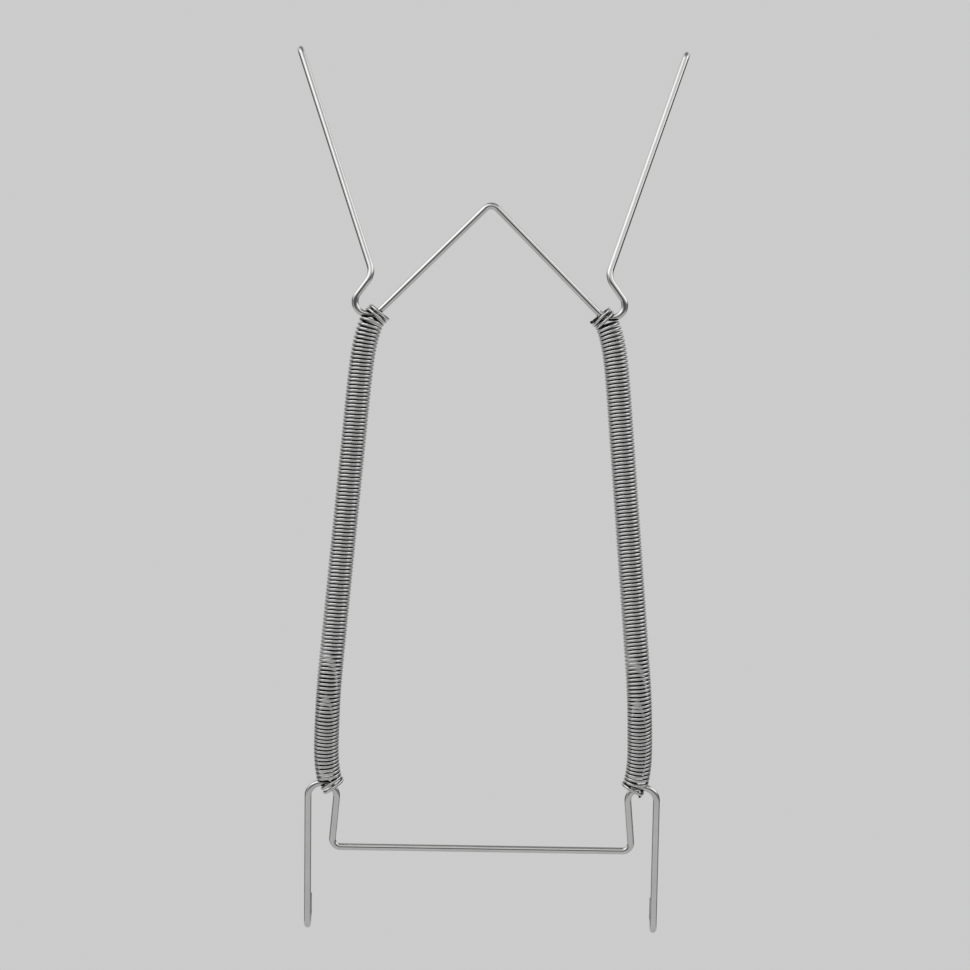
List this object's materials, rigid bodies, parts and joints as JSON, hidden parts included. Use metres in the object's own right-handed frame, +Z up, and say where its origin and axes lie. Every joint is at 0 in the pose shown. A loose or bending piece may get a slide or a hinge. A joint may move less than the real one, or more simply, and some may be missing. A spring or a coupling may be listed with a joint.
{
  "type": "wall plate holder",
  "caption": "Sprung wire holder that hooks over a plate's rim and hangs it on a wall nail.",
  "frame": {"origin": "the nail seat: underside of the bend at the top of the upper wire, on the wire's centre plane", "axes": "+Z up, +Y to the wall, -Y to the plate, +X to the right as seen from the plate side"},
  "size_m": [0.1122, 0.0339, 0.2517],
  "materials": {
    "plated_wire": "bright plated steel wire with fine lengthwise drawing marks",
    "spring_wire": "bright drawn spring steel wire, wound hard"
  },
  "bodies": {
    "upper": {"upper_wire": "plated_wire"},
    "springs": {"left_spring": "spring_wire", "right_spring": "spring_wire"},
    "lower": {"lower_wire": "plated_wire"}
  },
  "joints": [
    {"name": "spring_swing", "type": "hinge", "parent": "upper", "child": "springs", "pos_m": [0, 0, -0.02986], "axis": [1, 0, 0], "range_deg": [-60, 60]},
    {"name": "spring_stretch", "type": "slide", "parent": "springs", "child": "lower", "axis": [0, 0, -1], "range_m": [-0.0167, 0.06], "stiffness_N_per_m": 430, "springref_m": -0.0247, "deforming": ["left_spring", "right_spring"]}
  ]
}
